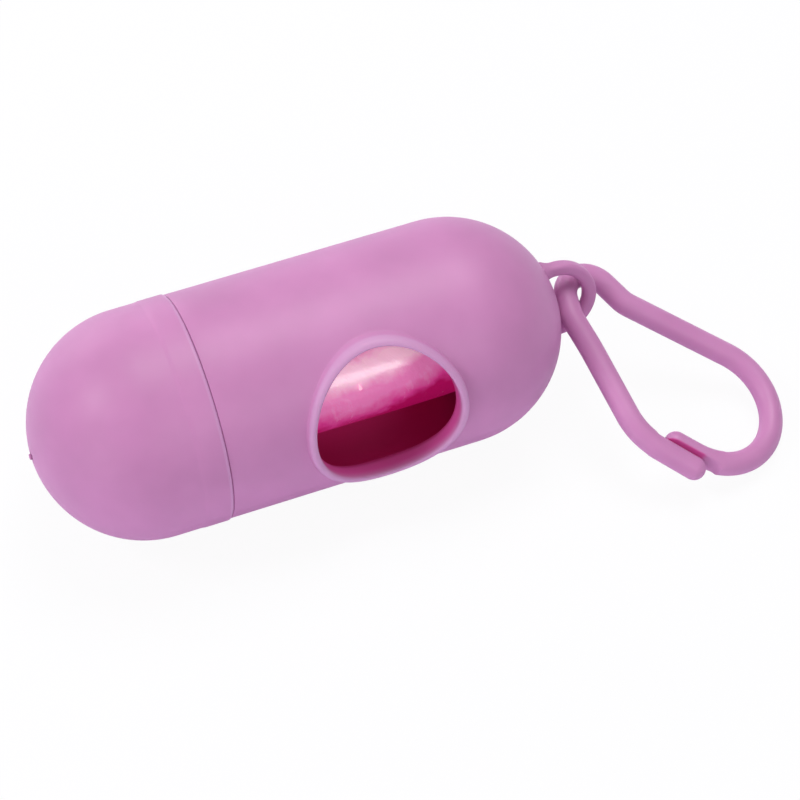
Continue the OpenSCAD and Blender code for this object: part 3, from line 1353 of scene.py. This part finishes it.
@dataclass
class Clip:
    """The moulded clip: one round wire in one plane, with a flexing gate and two finger ends.

    Its wire follows stations [x, y, heading] in the plane, with x along the clip.

    Args:
        capsule: The capsule that it hangs from.
        wire: Radius of the wire.
        yaw: The plane's turn towards the front.
        hang_x: Distance of the plane's origin past the middle of the eyelet's hole.
        lift: Height of that origin over the capsule's axis.
        root: Station of the gate's root.
        root_bend: Angle of the bend behind the root.
        near_bend: Radius of the bend through the eyelet.
        kink: Angle of the kink before the spine.
        spine_heading: Heading of the spine.
        spine: Length of the spine.
        far_bend: Radius of the far bend.
        nose_drop: Heading of the nose finger.
        finger_gap: Free space between the two fingers.
        split_share: Where that space lies, from the gate's tip at 0 to the nose at 1.
        flat_lead: Length by which a finger's flat side runs past the other finger.
        flat_edge: Width of the eased edge of a flat side.
        groove: How far the reddened groove runs past the nose's and the tip's last station.
        joint: How many of the frame's first stations belong to the gate's wire.
        flex: Stations of the gate's wire at the two ends of its root: one of its lead and one of
            its arm.
        spacing: Greatest distance between stations.
        sides: Steps round the wire.
    """

    capsule: Capsule
    wire: float = 2.0
    yaw: float = 39.2
    hang_x: float = 1.8
    lift: float = -0.59
    root: tuple[float, float, float] = (2.6, -3.6, -37.7)
    root_bend: float = 17.5
    near_bend: float = 4.55
    kink: float = 19.5
    spine_heading: float = 2.8
    spine: float = 19.1
    far_bend: float = 11.05
    nose_drop: float = -0.4
    finger_gap: float = 0.3
    split_share: float = 0.75
    flat_lead: float = 1.6
    flat_edge: float = 0.25
    # groove: How far the groove's painted shade and glow run past the nose's and the tip's last
    # station.
    groove: tuple[float, float] = (2.4, 0.2)
    joint: int = 6
    flex: tuple[int, int] = (1, 9)
    spacing: float = 0.7
    sides: int = 40

    def frame_steps(self) -> list[Step]:
        """The wire from the gate's root back through the eyelet and round to the nose finger."""
        back = 180 + self.root[2] - self.root_bend + self.kink
        return [
            Step(5.0, -self.root_bend),  # back from the gate's root
            Step(2.5),  # towards the eyelet
            Step(self.near_bend, -back),  # round through the eyelet's hole
            Step(3.5),  # up to the kink
            Step(5.0, self.kink + self.spine_heading),  # the kink
            Step(self.spine),
            Step(self.far_bend, -(180 + self.spine_heading - self.nose_drop)),
            Step(3.9),  # the nose finger
        ]

    def gate_steps(self) -> list[Step]:
        """The gate's arm from its root to its finger end."""
        return [
            Step(3.5),  # out from the root
            Step(60.0, -3.7),  # the arm's slight bow
            Step(11.3),  # along beside the opening
            Step(10.9, 39.5),  # towards the nose finger
            Step(6.9),  # its own finger
        ]

    def stations(self, steps: list[Step], start: tuple[float, float, float]) -> np.ndarray:
        """Stations along steps from a start."""
        out = [np.array([start])]
        for step in steps:
            out.append(step.points(out[-1][-1], self.spacing))
        return np.concatenate(out)

    def plane(self, far: float) -> tuple[np.ndarray, np.ndarray, np.ndarray, np.ndarray]:
        """The clip's plane: it hangs in the eyelet and its far end, far out, rests on the surface.

        Args:
            far: Distance of the wire's farthest point along the clip.

        Returns:
            The plane's origin, its directions along and across the clip, and its normal.
        """
        f, c = self.capsule.frame, self.capsule
        pitch = math.asin((f.cap_radius - self.wire + self.lift) / far)
        turn = math.radians(self.yaw)
        start = f.dome_x + f.barrel + c.eyelet_reach + self.hang_x
        level = np.array([math.cos(turn), -math.sin(turn), 0.0])
        along = math.cos(pitch) * level - math.sin(pitch) * np.array([0.0, 0.0, 1.0])
        across = np.array([math.sin(turn), math.cos(turn), 0.0])
        return np.array([start, 0.0, self.lift]), along, across, np.cross(along, across)

    def tube(self, stations: np.ndarray) -> tuple[np.ndarray, np.ndarray]:
        """Rings of the wire, with a round end of rings r cos a wide, r sin a past the end.

        Args:
            stations: The wire's stations.

        Returns:
            The rings' stations and their radii.
        """
        a = np.radians(np.linspace(0, 88, 12))[1:]
        rows = [stations, self._beyond(stations[-1], self.wire * np.sin(a))]
        sizes = [np.full(len(stations), self.wire), self.wire * np.cos(a)]
        return np.concatenate(rows), np.concatenate(sizes)

    @staticmethod
    def _beyond(station: np.ndarray, distance: np.ndarray) -> np.ndarray:
        """Stations at distances along the heading of one station."""
        h = math.radians(station[2])
        x = station[0] + distance * math.cos(h)
        y = station[1] + distance * math.sin(h)
        return np.stack([x, y, np.full_like(distance, station[2])], axis=1)

    def skin(self, rings: np.ndarray, radii: np.ndarray, flat: Flat) -> np.ndarray:
        """The wire's surface in the plane's own coordinates, with one side of a finger flat.

        With d the distance past the flat's line and e the eased edge's width, d becomes 0 from e
        on, d - (d + e) squared / (4 e) - e / 2 between -e and e, and d - e / 2 below.

        Args:
            rings: Stations of the rings.
            radii: Radii of the rings.
            flat: The finger's flat side.

        Returns:
            A grid with shape (rings, sides, 3).
        """
        a = np.linspace(0, TAU, self.sides, endpoint=False)
        h = np.radians(rings[:, 2])[:, None]
        out = radii[:, None] * np.cos(a)
        x = rings[:, :1] - np.sin(h) * out
        y = rings[:, 1:2] + np.cos(h) * out
        z = radii[:, None] * np.sin(a) * np.ones_like(x)
        past, edge = (y - flat.line) * flat.side, self.flat_edge
        eased = np.where(past > -edge, past - (past + edge) ** 2 / (4 * edge), past)
        eased = np.where(past > edge, edge / 2, eased)
        on_finger = (x > flat.start) & (x < flat.end) & (y < 0)
        held = np.where(on_finger, flat.line + flat.side * (eased - edge / 2), y)
        return np.stack([x, held, z], axis=-1)

    def build(self) -> list[bpy.types.Object]:
        """Makes the frame's wire and the gate's wire.

        Returns:
            The pieces.
        """
        frame = self.capsule.frame
        bow = self.stations(self.frame_steps(), (*self.root[:2], self.root[2] + 180))
        arm = self.stations(self.gate_steps(), self.root)
        origin, along, across, normal = self.plane(bow[:, 0].max())
        nose, tip = bow[-1], arm[-1]
        split = tip[1] + self.split_share * (nose[1] - tip[1])
        gap, inset = self.finger_gap / 2, 2 * self.wire
        clear = self.wire + self.finger_gap + self.flat_lead
        lead = bow[: self.joint][::-1].copy()
        lead[:, 2] -= 180
        nose_flat = Flat(split + gap, -1.0, nose[0] - inset, tip[0] + clear)
        gate_flat = Flat(split - gap, 1.0, nose[0] - clear, tip[0] + inset)
        made = []
        for name, stations, flat in (
            ("clip_frame_wire", bow[self.joint - 1 :], nose_flat),
            ("clip_gate_wire", np.concatenate([lead, arm[1:]]), gate_flat),
        ):
            u, w, v = np.moveaxis(self.skin(*self.tube(stations), flat), -1, 0)[..., None]
            piece = closed_tube(name, frame, origin + u * along + w * across + v * normal)
            sharpen(piece, 50)
            made.append(piece)
        reach = (nose[0] - self.groove[0], tip[0] + self.groove[1])
        fingers = Fingers(frame.origin + origin, along, across, reach, split)
        plastic = ClipPlastic().make(fingers)
        dress(made[0], plastic, Body.CLIP, Slot.CLIP, "clip_frame")
        bent = (lead[self.flex[0]], arm[self.flex[1]])
        ends = [origin + at[0] * along + at[1] * across for at in bent]
        self._flex(made[1], plastic, ends)
        return made

    def _flex(
        self, piece: bpy.types.Object, plastic: bpy.types.Material, ends: list[np.ndarray]
    ) -> None:
        """Gives the gate's wire its plastic, moves its place into its mesh and hides the CAD gate.

        Args:
            piece: The gate's wire.
            plastic: Its material.
            ends: Points at the two ends of the gate's root, which are not used.
        """
        piece.data.materials.append(plastic)
        start, end = (tuple(self.capsule.frame.to_part(point)) for point in ends)
        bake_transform(piece)
        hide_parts("clip_gate")
        LOG.info("%s: %d faces, bending at its root", piece.name, len(piece.data.polygons))


# --------------------------------------------------------------------------- the roll


@dataclass
class BagRoll:
    """Folded bags wound on a board core.

    Args:
        frame: The capsule's frame.
        bore: Radius of the hollow that it lies in.
        radius: Radius of the roll.
        core: Outer radius of the core.
        wall: Thickness of the core.
        length: Length of the roll.
        gap: Free space between the roll and the hollow's wall.
        low: Angle below the horizontal at which it lies, towards the back.
    """

    frame: Frame
    bore: float
    radius: float = 9.2
    core: float = 5.5
    wall: float = 0.8
    length: float = 53.5
    gap: float = 0.6
    low: float = 63.0

    @property
    def axis(self) -> np.ndarray:
        """A point on the roll's axis, at its middle."""
        out = self.bore - self.gap - self.radius
        a = math.radians(self.low)
        return np.array([0.0, out * math.cos(a), -out * math.sin(a)])

    def wound(self) -> bpy.types.Object:
        """The wound bags: a ring whose skin sinks a little in folds and long creases.

        The outer radius is the roll's own less a ripple. The end faces lie a sine of the radius
        inside the roll's ends, so that they step in and out with the layers.

        Returns:
            The piece.
        """
        sides, rows, inset, waves = 220, 150, 0.3, 9.0
        a = np.linspace(0, TAU, sides, endpoint=False)
        half = self.length / 2
        xx, aa = np.meshgrid(np.linspace(-half, half, rows), a, indexing="ij")
        skin = self.radius - self._ripple(xx, aa)
        outer = round_x(xx, skin, aa)
        layers = np.linspace(0, 1, 40)[1:, None]
        faces = []
        for end in (1, -1):
            edge = outer[-1 if end > 0 else 0]
            rim = np.hypot(edge[:, 1], edge[:, 2])
            rr = rim * (1 - layers) + self.core * layers
            step = 0.5 + 0.5 * np.sin(rr * waves + a + end)
            face_x = end * (half - inset * step * np.sin(math.pi * layers))
            faces.append(round_x(face_x, rr, a))
        bore = revolve(np.array([[-half, self.core]]), sides)
        grid = np.concatenate([faces[1][::-1], outer, faces[0], bore])
        surface = Surface()
        surface.grid(grid + self.axis, True)
        piece = surface.build("wound_bags", self.frame, merge=0.002)
        film = BagFilm().make(self.frame.origin + self.axis, self.radius)
        return dress(piece, film, Body.ROLL, Slot.FILM, "bag_roll")

    @staticmethod
    def _ripple(x: np.ndarray, a: np.ndarray) -> np.ndarray:
        """Depth of the folds and creases under the roll's greatest radius.

        Folds are sines of the angle that drift along the roll, each the weaker the more waves it
        has, and creases are narrow round hollows of 0.5 that lie askew.

        Args:
            x: Places along the roll.
            a: Angles about its axis.

        Returns:
            The depths, in millimetres.
        """
        rng = np.random.default_rng(7)
        least, most = 0.02, 0.42
        depth = np.zeros_like(x)
        for waves in (2, 3, 5, 8, 13):
            phase, drift = rng.uniform(0, TAU), rng.uniform(0.02, 0.12)
            lean = rng.uniform(-0.05, 0.05)
            fold = waves * a + phase + waves * lean * x + np.sin(x * drift + phase)
            depth += np.sin(fold) / waves
        for _ in range(26):
            place, where = rng.uniform(-26, 26), rng.uniform(0, TAU)
            long, wide = rng.uniform(2.5, 7.0), rng.uniform(0.05, 0.13)
            skew = rng.uniform(-0.05, 0.05)
            turn = np.angle(np.exp(1j * (a - where - skew * (x - place))))
            depth += 0.5 * np.exp(-((x - place) ** 2) / long**2 - turn**2 / wide**2)
        depth -= depth.min()
        return least + most * depth / depth.max()

    def fold(self) -> bpy.types.Object:
        """A small corner of film that has come up from the roll: a thin blade on a curved path.

        With t from 0 to 1, the path rises by t squared off the roll's skin, and the blade's width
        falls as (1 - t) to the power 0.8.

        Returns:
            The piece.
        """
        place, angle, turn, drift = 9.5, math.radians(155), 0.19, 0.35
        sunk, rise, half_width, half_tip, half_height = 0.25, 0.55, 0.42, 0.02, 0.05
        t = np.linspace(0, 1, 14)
        a = angle - turn * t
        radius = self.radius - sunk + rise * t * t
        path, normals = round_x(place - drift * t, radius, a), round_x(0.0, 1.0, a)
        tangents = directions(path)
        normals -= (normals * tangents).sum(axis=1)[:, None] * tangents
        b = np.linspace(0, TAU, 16, endpoint=False)
        wide = half_width * (1 - t) ** 0.8 + half_tip
        high = np.full_like(t, half_height)
        section = np.stack([np.outer(wide, np.cos(b)), np.outer(high, np.sin(b))], axis=-1)
        rings = sweep(path + self.axis, tangents, normals, section)
        piece = closed_tube("film_fold", self.frame, rings)
        # Paler colours and a stronger glow paint a glint on the fold.
        film = BagFilm(name="film_fold", pale=(1.0, 0.72, 0.84), pink=(0.97, 0.5, 0.7), through=0.6)
        plastic = film.make(self.frame.origin + self.axis, self.radius)
        return dress(piece, plastic, Body.ROLL, Slot.FILM)

    def tube(self) -> bpy.types.Object:
        """The board core: one closed turned skin.

        Returns:
            The piece.
        """
        half, outer, inner, edge = self.length / 2, self.core, self.core - self.wall, 0.12
        right = [[half, outer - edge], [half, inner + edge], [half - edge, inner]]
        left = [[-half + edge, inner], [-half, inner + edge], [-half, outer - edge]]
        line = [[-half + edge, outer], [half - edge, outer], *right, *left, [-half + edge, outer]]
        surface = Surface()
        surface.grid(revolve(np.array(line), 96) + self.axis, True)
        piece = surface.build("core_tube", self.frame)
        sharpen(piece, 35)
        return dress(piece, CoreBoard().make(), Body.ROLL, Slot.CORE, "roll_core")


# --------------------------------------------------------------------------- studio


@dataclass(frozen=True)
class Lamp:
    """A round soft light that faces the part.

    Args:
        name: Name of the light.
        high: Angle over the floor, in degrees.
        azimuth: Angle from the front, positive towards the clip, in degrees.
        size: Width, in metres.
        power: Power, in watts.
    """

    name: str
    high: float
    azimuth: float
    size: float
    power: float

    def place(self, distance: float) -> None:
        """Puts the light at a distance, in metres."""
        e, a = math.radians(self.high), math.radians(self.azimuth)
        way = Vector((math.cos(e) * math.sin(a), -math.cos(e) * math.cos(a), math.sin(e)))
        data = bpy.data.lights.new(self.name, "AREA")
        data.shape = "DISK"
        data.size = self.size
        data.energy = self.power
        lamp = linked(self.name, data)
        lamp.location = way * distance
        lamp.rotation_mode = "QUATERNION"
        lamp.rotation_quaternion = (-way).to_track_quat("-Z", "Y")


@dataclass(frozen=True)
class Studio:
    """Floor, soft lights and the camera of the photograph.

    Args:
        frame: The capsule's frame.
        elevation: Camera's height angle, in degrees.
        azimuth: Camera's angle from the front, positive towards the clip, in degrees.
        distance: Camera's distance, in millimetres.
        aim: The view's middle, to the right of and above the capsule's middle, in millimetres.
        lens: Focal length for a 36 mm sensor.
        lamp_distance: Distance of the lights, in metres.
        lamps: The soft lights.
        surround: Strength of the even white surrounding.
    """

    frame: Frame
    elevation: float = 52.45
    azimuth: float = -21.107
    distance: float = 500.0
    aim: tuple[float, float] = (16.948, -3.857)
    lens: float = 137.04
    lamp_distance: float = 1.2
    surround: float = 0.3
    lamps: tuple[Lamp, ...] = (
        Lamp("top_light", 70, 140, 0.7, 6.9),
        Lamp("side_light", 46, 260, 0.35, 4.0),
        Lamp("low_light", 10, 300, 0.7, 2.4),
        Lamp("back_light", 10, 195, 0.9, 3.6),
        Lamp("front_light", 35, 12, 0.25, 1.7),
    )

    def camera(self) -> None:
        """Places the camera."""
        e, a = math.radians(self.elevation), math.radians(self.azimuth)
        back = np.array([math.sin(a) * math.cos(e), -math.cos(a) * math.cos(e), math.sin(e)])
        right = np.array([math.cos(a), math.sin(a), 0.0])
        up = np.cross(back, right)
        spot = self.frame.to_part(back * self.distance + right * self.aim[0] + up * self.aim[1])
        data = bpy.data.cameras.new("camera")
        data.lens = self.lens
        data.sensor_width = 36.0
        data.clip_start, data.clip_end = 0.01, 20.0
        camera = linked("camera", data)
        turn = Matrix((right, up, back)).transposed()
        camera.matrix_world = Matrix.Translation(Vector(spot)) @ turn.to_4x4()
        bpy.context.scene.camera = camera

    def floor(self) -> None:
        """Makes the floor, a square of 8 metres."""
        half = 4.0
        mesh = bpy.data.meshes.new("floor")
        corners = [(-half, -half, 0), (half, -half, 0), (half, half, 0), (-half, half, 0)]
        mesh.from_pydata(corners, [], [(0, 1, 2, 3)])
        mesh.materials.append(StudioWhite().make())
        floor = linked("floor", mesh)

    def lights(self) -> None:
        """Places the soft lights and an even surrounding, which the camera sees as white."""
        for lamp in self.lamps:
            lamp.place(self.lamp_distance)
        world = bpy.data.worlds.new("world")
        world.use_nodes = True
        tree = world.node_tree
        back = tree.nodes["Background"].inputs
        seen = Socket(tree, Shader.node_in(tree, "ShaderNodeLightPath").outputs["Is Camera Ray"])
        strength = self.surround + seen * (1.0 - self.surround)
        tree.links.new(strength.out, back["Strength"])
        back["Color"].default_value = WHITE
        bpy.context.scene.world = world
        bpy.context.scene.view_settings.view_transform = "Standard"


def main() -> None:
    """Builds the studio and every piece."""
    logging.basicConfig(level=logging.INFO, format="%(name)s: %(message)s")
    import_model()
    frame = Frame(*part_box("end_cap"))
    studio = Studio(frame)
    studio.camera()
    studio.floor()
    studio.lights()
    capsule = Capsule(frame)
    roll = BagRoll(frame, capsule.bore)
    pieces = [capsule.shell(), capsule.eyelet(), capsule.thread(), capsule.cap()]
    pieces += Clip(capsule).build()
    pieces += [roll.wound(), roll.fold(), roll.tube()]
    LOG.info("%d pieces", len(pieces))


if __name__ == "__main__":
    main()
